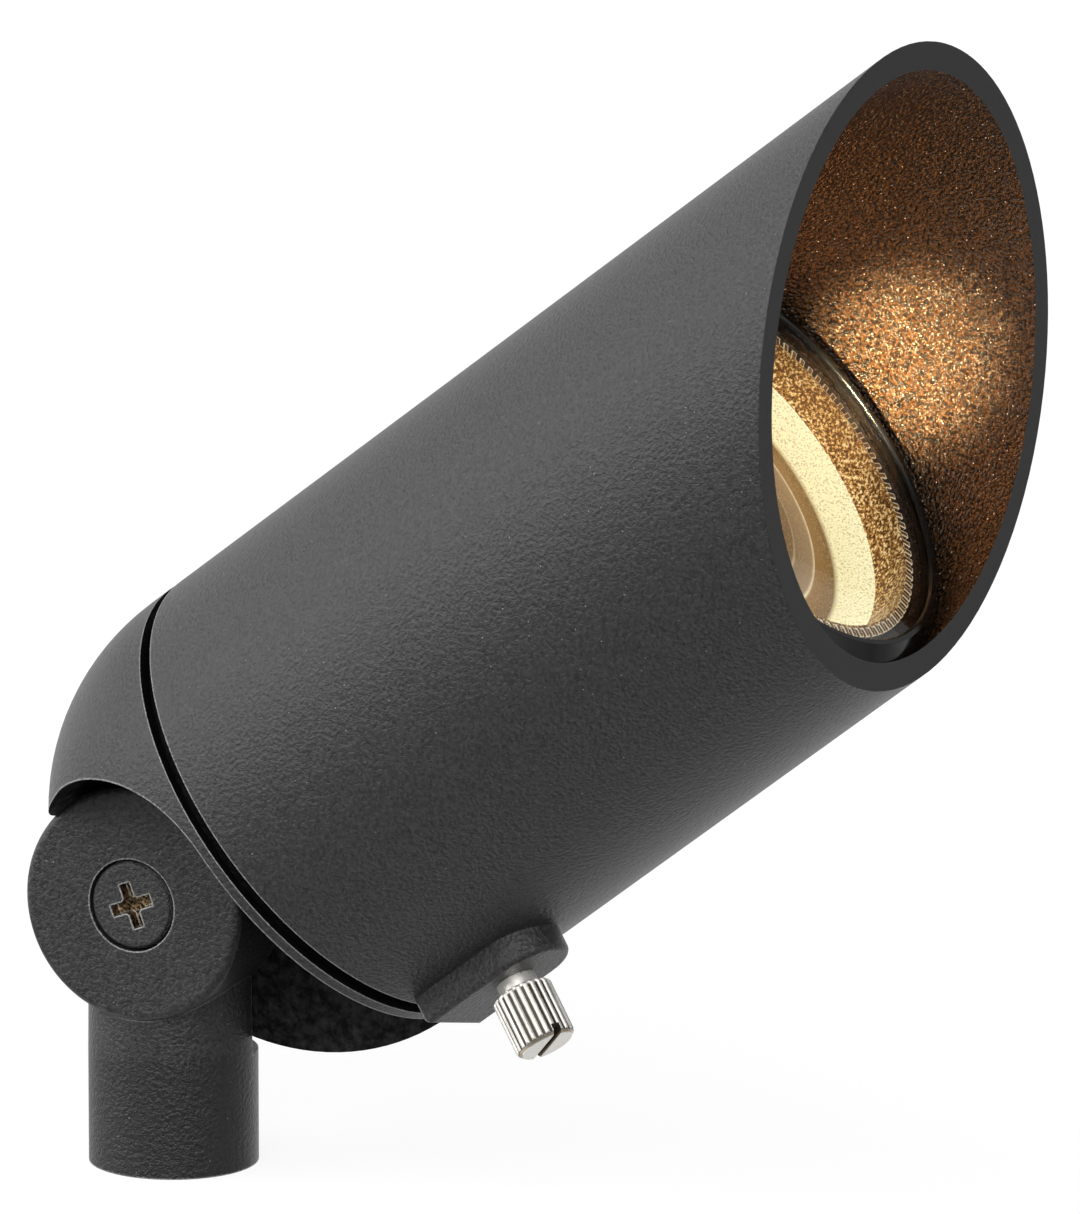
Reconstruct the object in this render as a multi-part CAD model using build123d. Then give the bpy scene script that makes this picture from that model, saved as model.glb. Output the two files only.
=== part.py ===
from build123d import *
import math
import os

# Accent spotlight on a tilting knuckle, in millimetres.
# Origin: centre of the stem's lower end. +Z is up and +X is the way the lamp aims.
# The near side of the knuckle, where the screw head shows, is -Y.

# How far a cutting shape runs past the face it opens
OVERCUT = 1.0

# Aim and knuckle
PIVOT_HEIGHT = 35.3
AIM_TILT = 37.9
TILT_LOW = 33.0
STEM_DIAMETER = 21.4
STEM_BORE_DIAMETER = 14.0
STEM_BORE_ROOF = 2.0
STEM_SHOULDER_CLEARANCE = 0.8
WIREWAY_WALL = 0.4
DISC_RIM = 0.9
DISC_FACE = 11.4
DISC_EDGE_ROUND = 1.0
JOINT_PLANE = 1.6
JOINT_CLEARANCE = 0.1
TONGUE_RELIEF = 0.6
TONGUE_DRAFT = 0.2
CHAMBER_WIDTH = 4.0
CHAMBER_DEPTH = 7.4
KNUCKLE_RING_WIRE = 1.6
KNUCKLE_RING_WALL = 1.0

# Knuckle screw
SCREW_SHANK = 6.0
SCREW_HEAD_DIAMETER = 11.2
SCREW_HEAD_HEIGHT = 3.0
SCREW_HEAD_CHAMFER = 0.4
SCREW_GRIP = 11.0
SCREW_RECESS_ARM = 5.8
SCREW_RECESS_WIDTH = 1.5
SCREW_RECESS_MIDDLE = 2.6
SCREW_RECESS_DEPTH = 1.8
SCREW_TURN = 17.0
WASHER_THICKNESS = 1.2
WASHER_FIT = 0.2
WASHER_SPLIT = 0.8
WASHER_SPLIT_LEAN = 20.0
COUNTERBORE_GAP = 0.3

# Rear housing
TUBE_DIAMETER = 63.5
AXIS_DROP = 1.8
DOME_CENTRE = 21.8
CAP_BAND = 3.3
SHADOW_GAP = 1.7
NECK_INSET = 1.5
SPIGOT_LENGTH = 18.0
SPIGOT_WALL = 4.0
SPIGOT_CLEARANCE = 0.15
SPIGOT_CHAMFER = 1.0
DOME_WALL = 4.5
BULKHEAD = 4.0
POCKET_FRONT_WALL = 1.4
POCKET_CLEARANCE = 1.0
POCKET_TOP_FALL = 5.5
EAR_FLOOR = 4.0
EAR_BOSS_WALL = 2.0
EAR_BOSS_CAP = 2.0
WIRE_HOLE_DIAMETER = 6.0
WIRE_WINDOW_DIAMETER = 9.0
POST_DIAMETER = 7.0
POST_LENGTH = 12.7
POST_HOLE_DEPTH = 11.0
POST_LEAD_GAP = 1.3

# Hood
HOOD_WALL = 2.8
MOUTH_ANGLE = 53.2
HOOD_TURN = -15.6
RING_WIRE = 2.4
RING_FIT = 0.05
RING_SETBACK = 4.5
LEDGE_THICKNESS = 1.6
LEDGE_LAMP_GAP = 0.5
BOSS_SETBACK = 0.8
BOSS_LENGTH = 18.8
BOSS_WIDTH = 11.4
BOSS_HEIGHT = 3.2
BOSS_EDGE = 0.8

# Lens
LENS_SETBACK = 0.22
LENS_THICKNESS = 2.1
LENS_CHAMFER = 0.4
LENS_EDGE_COVER = 0.9
GASKET_LIP = 0.5
GASKET_SIDE = 1.8
GASKET_FIT = 0.1

# Thumbscrew
THUMB_FROM_REAR = 11.6
THUMB_SHANK = 4.0
THUMB_HEAD_DIAMETER = 7.8
THUMB_HEAD_LENGTH = 7.7
THUMB_COLLAR_DIAMETER = 5.2
THUMB_COLLAR_HEIGHT = 1.7
THUMB_RIBS = 24
THUMB_RIB_DEPTH = 0.25
THUMB_CHAMFER = 0.6
THUMB_SLOT_WIDTH = 1.1
THUMB_SLOT_DEPTH = 1.3
THUMB_SLOT_TURN = 153.0
THUMB_TIP_GAP = 0.25
THREAD_FIT = 0.05

# Lamp
LAMP_DIAMETER = 49.6
LAMP_LENGTH = 46.8
LAMP_GASKET_GAP = 0.1
LAMP_BEZEL_DEPTH = 6.4
LAMP_BEZEL_WIDTH = 1.6
LAMP_TEETH = 104
LAMP_TOOTH_DEPTH = 1.2
LAMP_TOOTH_HEIGHT = 1.0
LAMP_NECK_DIAMETER = 24.0
LAMP_FLARE = 1.5
LAMP_BASE_DIAMETER = 19.0
LAMP_BASE_LENGTH = 9.0
LAMP_BASE_CHAMFER = 2.0
LAMP_BASE_FLAT_DEPTH = 1.5
LAMP_BASE_FLAT_LENGTH = 7.0
LAMP_FINS = 24
LAMP_FIN_GAP = 1.6
LAMP_FIN_DEPTH = 5.0
LAMP_CORE_LENGTH = 26.0
OPTIC_FIT = 0.1
OPTIC_RECESS = 4.7
OPTIC_THICKNESS = 4.1
OPTIC_SEAT = 1.0
OPTIC_RINGS = 4
OPTIC_RING_STEP = 0.5
OPTIC_RING_PITCH = 3.4
OPTIC_RIM = 8.1
BOARD_DIAMETER = 30.0
BOARD_THICKNESS = 1.4
CHIP_SIZE = 9.0
CHIP_THICKNESS = 0.8
PIN_SPACING = 5.33
PIN_DIAMETER = 1.5
PIN_LENGTH = 7.5
PIN_CHAMFER = 0.3

# Lampholder and its bracket
SOCKET_WIDTH = 18.0
SOCKET_HEIGHT = 11.0
SOCKET_LENGTH = 13.0
SOCKET_CORNER = 2.5
SOCKET_SCREW_SPACING = 12.6
SOCKET_SCREW_DIAMETER = 2.5
SOCKET_HEAD_DIAMETER = 4.7
CONTACT_WALL = 0.5
CONTACT_FIT = 0.05
CONTACT_FLOOR = 0.5
BRACKET_THICKNESS = 1.6
BRACKET_WIDTH = 14.0
SMALL_SCREW_DIAMETER = 3.0
SMALL_HEAD_DIAMETER = 5.6
SMALL_HEAD_HEIGHT = 1.9
SMALL_SCREW_LENGTH = 8.0
SMALL_SLOT_WIDTH = 0.8
SMALL_SLOT_DEPTH = 0.7

# Leads
LEAD_DIAMETER = 1.8
LEAD_SPACING = 2.2
LEAD_BEND = 5.0
LEAD_BEND_RADIUS = 3.0
LEAD_HOLE_GAP = 0.7
LEAD_END_SETBACK = 0.5
GROMMET_FLANGE = 1.2
GROMMET_WALL = 0.7
GROMMET_GAP = 0.3

# Sizes that follow from those above: the knuckle
stem_radius = STEM_DIAMETER / 2
disc_back = JOINT_PLANE - JOINT_CLEARANCE
counterbore_depth = SCREW_HEAD_HEIGHT + WASHER_THICKNESS
ear_boss_radius = SCREW_SHANK / 2 + EAR_BOSS_WALL
ear_boss_end = JOINT_PLANE + SCREW_GRIP + EAR_BOSS_CAP
wire_hole_offset = ear_boss_radius + GROMMET_GAP + GROMMET_FLANGE + WIRE_HOLE_DIAMETER / 2
chamber_inner = wire_hole_offset - CHAMBER_WIDTH / 2
chamber_outer = wire_hole_offset + CHAMBER_WIDTH / 2
knuckle_ring_inner = chamber_outer + KNUCKLE_RING_WALL
disc_radius = knuckle_ring_inner + KNUCKLE_RING_WIRE + DISC_RIM
wireway_radius = (CHAMBER_DEPTH - TONGUE_RELIEF - WIREWAY_WALL) / 2
pocket_corner = AXIS_DROP + disc_radius + POCKET_CLEARANCE

# The housing, measured along the tube from the pivot
tube_radius = TUBE_DIAMETER / 2
bore_radius = tube_radius - HOOD_WALL
cap_front = DOME_CENTRE + CAP_BAND
hood_rear = cap_front + SHADOW_GAP
neck_radius = tube_radius - NECK_INSET
spigot_radius = bore_radius - SPIGOT_CLEARANCE
spigot_front = hood_rear + SPIGOT_LENGTH
cavity_radius = spigot_radius - SPIGOT_WALL
pocket_front = cap_front - POCKET_FRONT_WALL
bulkhead_front = pocket_front + BULKHEAD
ring_groove_front = hood_rear + RING_SETBACK + RING_WIRE + 2 * RING_FIT
lead_run = JOINT_PLANE + EAR_FLOOR + GROMMET_FLANGE + LEAD_BEND
post_spread = 2 * (lead_run + LEAD_DIAMETER / 2 + POST_LEAD_GAP) + POST_DIAMETER

# The lampholder, the lamp, the lens and the mouth follow one another forward
bracket_rear = bulkhead_front + POST_LENGTH
socket_rear = bracket_rear + BRACKET_THICKNESS
lamp_rear = socket_rear + SOCKET_LENGTH
lamp_body_rear = lamp_rear + LAMP_BASE_LENGTH
lamp_front = lamp_rear + LAMP_LENGTH
lamp_radius = LAMP_DIAMETER / 2
bezel_back = lamp_front - LAMP_BEZEL_DEPTH
bezel_inner = lamp_radius - LAMP_BEZEL_WIDTH
tooth_floor = lamp_front - LAMP_TOOTH_HEIGHT
tooth_root = lamp_radius - LAMP_TOOTH_DEPTH
optic_front = lamp_front - OPTIC_RECESS
optic_back = optic_front - OPTIC_THICKNESS
optic_seat_radius = bezel_inner - OPTIC_SEAT
board_front = optic_back - CHIP_THICKNESS
board_back = board_front - BOARD_THICKNESS
gasket_back = lamp_front + LAMP_GASKET_GAP
glass_back = gasket_back + GASKET_LIP
glass_front = glass_back + LENS_THICKNESS
gasket_front = glass_front + GASKET_LIP
gasket_radius = bore_radius - GASKET_FIT
glass_radius = gasket_radius - GASKET_SIDE
mouth_slope = 1 / math.tan(math.radians(MOUTH_ANGLE))
lower_lip = gasket_front - (bore_radius - glass_radius) * mouth_slope + LENS_SETBACK
mouth_centre = lower_lip + bore_radius * mouth_slope

# The hood's boss and thumbscrew
boss_radius = tube_radius + BOSS_HEIGHT
thumb_station = hood_rear + THUMB_FROM_REAR


def stem_shoulder_drop():
    """Depth below the pivot where the stem becomes round, clear of the dome at its lowest tilt."""
    tilt = math.radians(TILT_LOW)
    centre_x = DOME_CENTRE * math.cos(tilt) + AXIS_DROP * math.sin(tilt)
    centre_z = DOME_CENTRE * math.sin(tilt) - AXIS_DROP * math.cos(tilt)
    reach = math.sqrt(tube_radius**2 - (stem_radius - centre_x) ** 2)
    return reach - centre_z + STEM_SHOULDER_CLEARANCE


shoulder_height = PIVOT_HEIGHT - stem_shoulder_drop()


def turned(points):
    """Solid of revolution about X from a closed outline of (along, radius) points."""
    return revolve(Plane.XZ * make_face(Polyline(*points, close=True)), Axis.X)


def rod_x(radius, start, end):
    """Cylinder along X from start to end."""
    length = end - start
    return Pos(start + length / 2, 0, 0) * Rot(0, 90, 0) * Cylinder(radius, length)


def rod_y(radius, start, end):
    """Cylinder along Y from start to end."""
    length = end - start
    return Pos(0, start + length / 2, 0) * Rot(90, 0, 0) * Cylinder(radius, length)


def rod_z(radius, start, end):
    """Cylinder along Z from start to end."""
    length = end - start
    return Pos(0, 0, start + length / 2) * Cylinder(radius, length)


def pipe(rod, outer, inner, start, end):
    """Hollow cylinder made with one of the rod functions."""
    return rod(outer, start, end) - rod(inner, start - OVERCUT, end + OVERCUT)


def pair(shape, spread):
    """Two copies of a shape, half the spread to each side of the middle."""
    return [Pos(0, side * spread / 2, 0) * shape for side in (-1, 1)]


def toothed_outline(count, steps):
    """Closed outline around a circle: each tooth runs through its (share of pitch, radius) steps."""
    points = []
    for tooth in range(count):
        for share, radius in steps:
            turn = 2 * math.pi * (tooth + share) / count
            points.append((radius * math.cos(turn), radius * math.sin(turn)))
    return make_face(Polyline(*points, close=True))


def ring_x(wire, radius, station):
    """Round-section ring about X, centred at a station along it."""
    return Pos(station, 0, 0) * Rot(0, 90, 0) * Torus(radius, wire / 2)


# Places: the head's own frame has the pivot at its origin and X along the tube
AT_PIVOT = Pos(0, 0, PIVOT_HEIGHT)
HEAD = AT_PIVOT * Rot(0, -AIM_TILT, 0)
TUBE = HEAD * Pos(0, 0, -AXIS_DROP)
HOOD = TUBE * Rot(HOOD_TURN, 0, 0)


def knuckle_stem():
    """Round stem that becomes a half-round tongue and ends in the knuckle disc."""
    round_stem = rod_z(stem_radius, 0, shoulder_height)
    tongue_back = disc_back - TONGUE_RELIEF
    tongue_length = PIVOT_HEIGHT - shoulder_height
    tongue = Cone(stem_radius, stem_radius - TONGUE_DRAFT, tongue_length)
    keep = Pos(0, tongue_back - STEM_DIAMETER, 0)
    tongue &= keep * Box(2 * STEM_DIAMETER, 2 * STEM_DIAMETER, 2 * tongue_length)
    tongue = Pos(0, 0, shoulder_height + tongue_length / 2) * tongue
    disc = rod_y(disc_radius, -DISC_FACE, disc_back)
    disc = fillet(disc.edges().group_by(Axis.Y)[0], DISC_EDGE_ROUND)
    body = round_stem + tongue + AT_PIVOT * disc
    counterbore_radius = SCREW_HEAD_DIAMETER / 2 + COUNTERBORE_GAP
    counterbore = rod_y(counterbore_radius, -DISC_FACE - OVERCUT, counterbore_depth - DISC_FACE)
    through = rod_y(SCREW_SHANK / 2 + THREAD_FIT, -DISC_FACE, disc_back + OVERCUT)
    chamber_floor = disc_back - CHAMBER_DEPTH
    chamber = pipe(rod_y, chamber_outer, chamber_inner, chamber_floor, disc_back + OVERCUT)
    groove_inner = knuckle_ring_inner - RING_FIT
    groove_outer = knuckle_ring_inner + KNUCKLE_RING_WIRE + RING_FIT
    groove_floor = disc_back - KNUCKLE_RING_WIRE
    groove = pipe(rod_y, groove_outer, groove_inner, groove_floor, disc_back + OVERCUT)
    body -= AT_PIVOT * (counterbore + through + chamber + groove)
    bore_roof = shoulder_height - STEM_BORE_ROOF
    bore = rod_z(STEM_BORE_DIAMETER / 2, -OVERCUT, bore_roof)
    wireway_top = PIVOT_HEIGHT - chamber_inner - OVERCUT
    wireway = rod_z(wireway_radius, bore_roof - OVERCUT, wireway_top)
    wireway = Pos(0, chamber_floor + wireway_radius, 0) * wireway
    return body - bore - wireway


def knuckle_ring():
    """Rubber ring that keeps water out between the disc and the housing's ear."""
    wire_radius = KNUCKLE_RING_WIRE / 2
    ring = Rot(90, 0, 0) * Torus(knuckle_ring_inner + wire_radius, wire_radius)
    return AT_PIVOT * Pos(0, disc_back - wire_radius, 0) * ring


def knuckle_washer():
    """Split spring washer under the knuckle screw's head."""
    outer = SCREW_HEAD_DIAMETER / 2 - WASHER_FIT
    inner = SCREW_SHANK / 2 + WASHER_FIT
    start = SCREW_HEAD_HEIGHT - DISC_FACE
    washer = pipe(rod_y, outer, inner, start, start + WASHER_THICKNESS)
    split_place = Pos(0, start + WASHER_THICKNESS / 2, outer) * Rot(0, 0, WASHER_SPLIT_LEAN)
    washer -= split_place * Box(WASHER_SPLIT, 4 * WASHER_THICKNESS, outer)
    return AT_PIVOT * washer


def knuckle_screw():
    """Cross-recessed screw that clamps the disc to the ear."""
    seat = SCREW_HEAD_HEIGHT - DISC_FACE
    head = rod_y(SCREW_HEAD_DIAMETER / 2, -DISC_FACE, seat)
    head = chamfer(head.edges().group_by(Axis.Y)[0], SCREW_HEAD_CHAMFER)
    shank = rod_y(SCREW_SHANK / 2, seat - OVERCUT, JOINT_PLANE + SCREW_GRIP)
    arm = Box(SCREW_RECESS_ARM, 2 * SCREW_RECESS_DEPTH, SCREW_RECESS_WIDTH)
    middle = Rot(0, 45, 0) * Box(SCREW_RECESS_MIDDLE, 2 * SCREW_RECESS_DEPTH, SCREW_RECESS_MIDDLE)
    cross = arm + Rot(0, 90, 0) * arm + middle
    recess = Pos(0, -DISC_FACE, 0) * Rot(0, SCREW_TURN, 0) * cross
    return HEAD * (head + shank - recess)


def knuckle_pocket():
    """Space for the disc and the swinging stem on the near side of the dome."""
    corner_x = pocket_front - pocket_corner
    reach = 2 * TUBE_DIAMETER
    rear_top = pocket_corner - (reach + corner_x) * math.tan(math.radians(POCKET_TOP_FALL))
    top = Line((-reach, rear_top), (corner_x, pocket_corner))
    corner = RadiusArc((corner_x, pocket_corner), (pocket_front, 0), pocket_corner)
    rest = Polyline((pocket_front, 0), (pocket_front, -reach), (-reach, -reach), (-reach, rear_top))
    outline = Plane.XZ * make_face([top, corner, rest])
    return Pos(0, JOINT_PLANE, 0) * extrude(outline, TUBE_DIAMETER)


def rear_housing():
    """Domed rear housing: half-lap ear for the knuckle, neck and spigot for the hood."""
    pole = DOME_CENTRE - tube_radius
    turn = tube_radius * math.sqrt(0.5)
    dome = ThreePointArc((pole, 0), (DOME_CENTRE - turn, turn), (DOME_CENTRE, tube_radius))
    steps = Polyline(
        (DOME_CENTRE, tube_radius),
        (cap_front, tube_radius),
        (cap_front, neck_radius),
        (hood_rear, neck_radius),
        (hood_rear, spigot_radius),
        (spigot_front - SPIGOT_CHAMFER, spigot_radius),
        (spigot_front, spigot_radius - SPIGOT_CHAMFER),
        (spigot_front, 0),
        (pole, 0),
    )
    body = revolve(Plane.XZ * make_face([dome, steps]), Axis.X)
    groove_floor = spigot_radius - RING_WIRE + SPIGOT_CLEARANCE
    body -= pipe(rod_x, tube_radius, groove_floor, hood_rear + RING_SETBACK, ring_groove_front)
    body -= knuckle_pocket()
    pivot = Pos(0, 0, AXIS_DROP)
    ear = rod_y(disc_radius, JOINT_PLANE, DISC_FACE)
    ear = fillet(ear.edges().group_by(Axis.Y)[-1], DISC_EDGE_ROUND)
    body += pivot * ear
    ear_floor = JOINT_PLANE + EAR_FLOOR
    inner_dome = Pos(DOME_CENTRE, 0, 0) * Sphere(tube_radius - DOME_WALL)
    far_side = Pos(pocket_front - TUBE_DIAMETER, ear_floor + TUBE_DIAMETER, 0)
    far_side *= Box(2 * TUBE_DIAMETER, 2 * TUBE_DIAMETER, 2 * TUBE_DIAMETER)
    window = rod_x(WIRE_WINDOW_DIAMETER / 2, pocket_front - OVERCUT, bulkhead_front + OVERCUT)
    body -= rod_x(cavity_radius, bulkhead_front, spigot_front + OVERCUT)
    body -= inner_dome & far_side
    body -= Pos(0, lead_run, AXIS_DROP) * window
    body += pair(rod_x(POST_DIAMETER / 2, bulkhead_front - OVERCUT, bracket_rear), post_spread)
    post_hole_radius = SMALL_SCREW_DIAMETER / 2 + THREAD_FIT
    post_hole_end = bracket_rear - POST_HOLE_DEPTH
    body -= pair(rod_x(post_hole_radius, post_hole_end, bracket_rear + OVERCUT), post_spread)
    body += pivot * rod_y(ear_boss_radius, JOINT_PLANE + OVERCUT, ear_boss_end)
    screw_hole_end = ear_boss_end - EAR_BOSS_CAP / 2
    body -= pivot * rod_y(SCREW_SHANK / 2 + THREAD_FIT, JOINT_PLANE - OVERCUT, screw_hole_end)
    wire_hole = rod_y(WIRE_HOLE_DIAMETER / 2, JOINT_PLANE - OVERCUT, ear_floor + OVERCUT)
    body -= pivot * Pos(wire_hole_offset, 0, 0) * wire_hole
    return TUBE * body


def hood_ring():
    """Rubber ring in the spigot's groove that the hood's bore runs on."""
    station = ring_groove_front - RING_FIT - RING_WIRE / 2
    return HOOD * ring_x(RING_WIRE - 2 * RING_FIT, bore_radius - RING_WIRE / 2, station)


def hood_boss():
    """Pad along the hood's underside with a round nose and softened edges."""
    half = BOSS_WIDTH / 2
    rear = hood_rear + BOSS_SETBACK
    nose_centre = rear + BOSS_LENGTH - half
    sides = Polyline((nose_centre, half), (rear, half), (rear, -half), (nose_centre, -half))
    nose = ThreePointArc((nose_centre, -half), (nose_centre + half, 0), (nose_centre, half))
    pad = extrude(make_face([sides, nose]), -boss_radius)
    return fillet(pad.edges().group_by(Axis.Z)[0], BOSS_EDGE)


def hood():
    """Tubular glare hood with a slanted mouth, a lens ledge and the thumbscrew boss."""
    end = mouth_centre + tube_radius * mouth_slope + OVERCUT
    ledge_radius = lamp_radius + LEDGE_LAMP_GAP
    ledge_back = gasket_back - LEDGE_THICKNESS
    tube = turned([
        (hood_rear, bore_radius),
        (hood_rear, tube_radius),
        (end, tube_radius),
        (end, bore_radius),
        (gasket_back, bore_radius),
        (gasket_back, ledge_radius),
        (ledge_back, ledge_radius),
        (ledge_back - LEDGE_THICKNESS, bore_radius),
    ])
    angle = math.radians(MOUTH_ANGLE)
    mouth = Plane(origin=(mouth_centre, 0, 0), z_dir=(math.sin(angle), 0, -math.cos(angle)))
    tube = split(tube, bisect_by=mouth, keep=Keep.BOTTOM)
    tube += hood_boss() - rod_x(tube_radius - HOOD_WALL / 2, 0, end)
    tube -= Pos(thumb_station, 0, 0) * rod_z(THUMB_SHANK / 2 + THREAD_FIT, -2 * boss_radius, 0)
    return HOOD * tube


def lens_glass():
    """Flat round cover glass with a small edge chamfer."""
    glass = turned([
        (glass_back, 0),
        (glass_back, glass_radius - LENS_CHAMFER),
        (glass_back + LENS_CHAMFER, glass_radius),
        (glass_front - LENS_CHAMFER, glass_radius),
        (glass_front, glass_radius - LENS_CHAMFER),
        (glass_front, 0),
    ])
    return HOOD * glass


def lens_gasket():
    """Channel-section silicone gasket around the glass, sloped to stay inside the slanted mouth."""
    lip = glass_radius - LENS_EDGE_COVER
    rim_front = gasket_front - GASKET_SIDE * mouth_slope
    gasket = turned([
        (gasket_back, lip),
        (gasket_back, gasket_radius),
        (rim_front, gasket_radius),
        (gasket_front, glass_radius),
        (gasket_front, lip + GASKET_LIP / 2),
        (gasket_front - GASKET_LIP / 2, lip),
        (glass_front, lip),
        (glass_front, glass_radius),
        (glass_back, glass_radius),
        (glass_back, lip),
    ])
    return HOOD * gasket


def thumbscrew():
    """Ribbed and slotted thumbscrew that clamps the hood to the spigot."""
    tip = spigot_radius + THUMB_TIP_GAP
    head_start = boss_radius + THUMB_COLLAR_HEIGHT
    head_end = head_start + THUMB_HEAD_LENGTH
    shank = rod_z(THUMB_SHANK / 2, -head_start - OVERCUT, -tip)
    collar = rod_z(THUMB_COLLAR_DIAMETER / 2, -head_start - OVERCUT, -boss_radius)
    crest = THUMB_HEAD_DIAMETER / 2
    valley = crest - THUMB_RIB_DEPTH
    ribs = toothed_outline(THUMB_RIBS, ((-0.25, crest), (0, crest), (0.25, valley), (0.5, valley)))
    ribbed = extrude(Plane.XY.offset(-head_end) * ribs, THUMB_HEAD_LENGTH)
    blank = rod_z(crest, -head_end, -head_start)
    blank = chamfer(blank.edges().group_by(Axis.Z)[0], THUMB_CHAMFER)
    blank = chamfer(blank.edges().group_by(Axis.Z)[-1], THUMB_CHAMFER / 2)
    slot = Pos(0, 0, -head_end) * Rot(0, 0, THUMB_SLOT_TURN)
    slot *= Box(2 * THUMB_HEAD_DIAMETER, THUMB_SLOT_WIDTH, 2 * THUMB_SLOT_DEPTH)
    screw = (ribbed & blank) + collar + shank - slot
    return HOOD * Pos(thumb_station, 0, 0) * screw


def lamp_housing():
    """Finned aluminium body of the lamp, open at the front for the optic."""
    neck = LAMP_NECK_DIAMETER / 2
    flare = lamp_radius - LAMP_FLARE
    core_front = lamp_body_rear + LAMP_CORE_LENGTH
    body = turned([
        (lamp_body_rear, 0),
        (lamp_body_rear, neck),
        (core_front, flare),
        (bezel_back, lamp_radius),
        (bezel_back, 0),
    ])
    body -= rod_x(optic_seat_radius, board_back, lamp_front)
    gap_length = LAMP_CORE_LENGTH + 2 * OVERCUT
    lean = math.degrees(math.atan2(flare - neck, LAMP_CORE_LENGTH))
    gap_place = Pos(lamp_body_rear, 0, neck) * Rot(0, -lean, 0) * Pos(gap_length / 2 - OVERCUT, 0, 0)
    gap = gap_place * Box(gap_length, LAMP_FIN_GAP, 2 * LAMP_FIN_DEPTH)
    step = 360 / LAMP_FINS
    body -= [Rot(fin * step, 0, 0) * gap for fin in range(LAMP_FINS)]
    return TUBE * body


def lamp_base():
    """Moulded base of the lamp that carries its two pins."""
    radius = LAMP_BASE_DIAMETER / 2
    base = turned([
        (lamp_rear, 0),
        (lamp_rear, radius - LAMP_BASE_CHAMFER),
        (lamp_rear + LAMP_BASE_CHAMFER, radius),
        (lamp_body_rear, radius),
        (lamp_body_rear, 0),
    ])
    flat = Box(2 * LAMP_BASE_FLAT_LENGTH, LAMP_BASE_DIAMETER, LAMP_BASE_DIAMETER)
    flat_level = LAMP_BASE_DIAMETER - LAMP_BASE_FLAT_DEPTH
    base -= [Pos(lamp_rear, 0, side * flat_level) * flat for side in (-1, 1)]
    base -= pair(rod_x(PIN_DIAMETER / 2, lamp_rear - OVERCUT, lamp_rear + PIN_LENGTH / 2), PIN_SPACING)
    return TUBE * base


def lamp_pins():
    """Two contact pins of the lamp."""
    pin = rod_x(PIN_DIAMETER / 2, lamp_rear - PIN_LENGTH, lamp_rear + PIN_LENGTH / 2)
    pin = chamfer(pin.edges().group_by(Axis.X)[0], PIN_CHAMFER)
    return [TUBE * place for place in pair(pin, PIN_SPACING)]


def led_board():
    """Round circuit board in the lamp with its light-emitting chip."""
    board = rod_x(BOARD_DIAMETER / 2, board_back, board_front)
    chip = Pos(board_front + CHIP_THICKNESS / 2, 0, 0) * Box(CHIP_THICKNESS, CHIP_SIZE, CHIP_SIZE)
    return TUBE * (board + chip)


def lamp_optic():
    """Moulded lens disc of the lamp with concentric stepped rings."""
    radius = bezel_inner - OPTIC_FIT
    body_radius = optic_seat_radius - OPTIC_FIT
    levels = (optic_front, optic_front - OPTIC_RING_STEP)
    outline = [(optic_back, 0), (optic_back, body_radius), (bezel_back, body_radius)]
    outline += [(bezel_back, radius), (optic_front, radius)]
    for ring in range(OPTIC_RINGS):
        edge = radius - OPTIC_RIM - OPTIC_RING_PITCH * ring
        outline.append((levels[ring % 2], edge))
        outline.append((levels[(ring + 1) % 2], edge))
    outline.append((outline[-1][0], 0))
    return TUBE * turned(outline)


def lamp_bezel():
    """Castellated ring around the optic at the front of the lamp."""
    ring = pipe(rod_x, lamp_radius, bezel_inner, bezel_back, tooth_floor)
    steps = ((-0.25, lamp_radius), (0.25, lamp_radius), (0.25, tooth_root), (0.75, tooth_root))
    crown = toothed_outline(LAMP_TEETH, steps) - Circle(bezel_inner)
    ring += extrude(Plane.YZ.offset(tooth_floor) * crown, LAMP_TOOTH_HEIGHT)
    return TUBE * ring


def lamp_socket():
    """Ceramic two-pin lampholder with contact wells and two screw holes."""
    middle = (lamp_rear + socket_rear) / 2
    block = Pos(middle, 0, 0) * Box(SOCKET_LENGTH, SOCKET_WIDTH, SOCKET_HEIGHT)
    block = fillet(block.edges().filter_by(Axis.X), SOCKET_CORNER)
    well_radius = PIN_DIAMETER / 2 + 2 * CONTACT_FIT + CONTACT_WALL
    well_floor = lamp_rear - PIN_LENGTH - 2 * CONTACT_FLOOR
    block -= pair(rod_x(well_radius, well_floor, lamp_rear + OVERCUT), PIN_SPACING)
    hole_radius = SOCKET_SCREW_DIAMETER / 2 + THREAD_FIT
    block -= pair(rod_x(hole_radius, socket_rear - OVERCUT, lamp_rear + OVERCUT), SOCKET_SCREW_SPACING)
    return TUBE * block


def socket_contacts():
    """Two sprung sleeves in the lampholder that grip the lamp's pins."""
    inner = PIN_DIAMETER / 2 + CONTACT_FIT
    sleeve_floor = lamp_rear - PIN_LENGTH - CONTACT_FLOOR
    sleeve = rod_x(inner + CONTACT_WALL, sleeve_floor - CONTACT_FLOOR, lamp_rear - CONTACT_FLOOR)
    sleeve -= rod_x(inner, sleeve_floor, lamp_rear)
    sleeve -= Pos(lamp_rear, 0, 0) * Box(PIN_LENGTH, 4 * inner, CONTACT_WALL)
    return [TUBE * place for place in pair(sleeve, PIN_SPACING)]


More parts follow.
